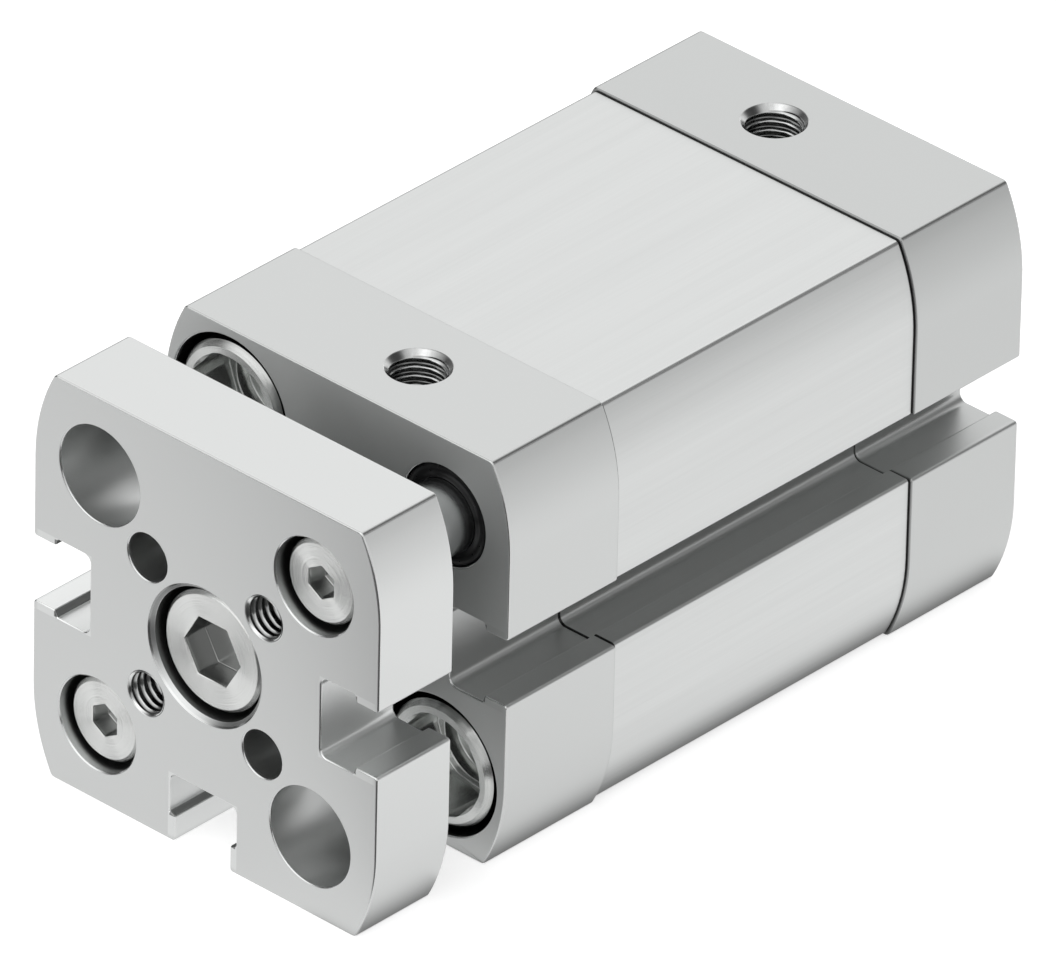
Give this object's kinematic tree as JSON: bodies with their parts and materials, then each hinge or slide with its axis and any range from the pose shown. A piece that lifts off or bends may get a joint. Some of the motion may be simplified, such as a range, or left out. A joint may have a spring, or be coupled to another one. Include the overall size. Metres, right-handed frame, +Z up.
{
  "type": "guided pneumatic cylinder",
  "caption": "Compact pneumatic cylinder with a square slotted barrel, and a yoke plate carried by the piston rod and two guide rods.",
  "frame": {"origin": "on the cylinder axis at the mouth of the centring bore, in the end cap's rear face", "axes": "+Y out of the rear face along the cylinder axis, +Z up on the side of the supply ports, +X to the right seen from the yoke plate; the yoke plate faces -Y"},
  "size_m": [0.0356, 0.071, 0.0356],
  "materials": {
    "anodised_cap": "satin anodised",
    "brushed_aluminium": "extruded and anodised, fine streaks along the axis",
    "zinc_steel": "turned, zinc plated",
    "chromed_steel": "ground and hard chromed",
    "bronze": "sintered",
    "black_plastic": "moulded",
    "seal_rubber": "smooth",
    "piston_alloy": "turned",
    "magnet": "moulded magnet"
  },
  "bodies": {
    "housing": {"barrel": "brushed_aluminium", "bearing_cap": "anodised_cap", "end_cap": "anodised_cap", "rod_bush": "bronze", "rod_seal": "seal_rubber", "barrel_seal_front": "seal_rubber", "barrel_seal_rear": "seal_rubber", "bumper_front": "seal_rubber", "bumper_rear": "seal_rubber", "guide_bush_upper": "black_plastic", "guide_bush_lower": "black_plastic", "collar_screw_front_upper": "zinc_steel", "collar_screw_front_lower": "zinc_steel", "collar_screw_rear_upper_left": "zinc_steel", "collar_screw_rear_upper_right": "zinc_steel", "collar_screw_rear_lower_left": "zinc_steel", "collar_screw_rear_lower_right": "zinc_steel"},
    "yoke": {"yoke_plate": "anodised_cap", "piston_rod": "chromed_steel", "rod_screw": "zinc_steel", "guide_rod_upper": "chromed_steel", "guide_rod_lower": "chromed_steel", "guide_screw_upper": "zinc_steel", "guide_screw_lower": "zinc_steel", "piston_front": "piston_alloy", "piston_rear": "piston_alloy", "piston_seal_front": "seal_rubber", "piston_seal_rear": "seal_rubber", "piston_o_ring": "seal_rubber", "piston_nut": "zinc_steel", "magnet_ring": "magnet", "wear_ring": "black_plastic"}
  },
  "joints": [
    {"name": "stroke", "type": "slide", "parent": "housing", "child": "yoke", "axis": [0, -1, 0], "range_m": [0, 0.02]}
  ]
}
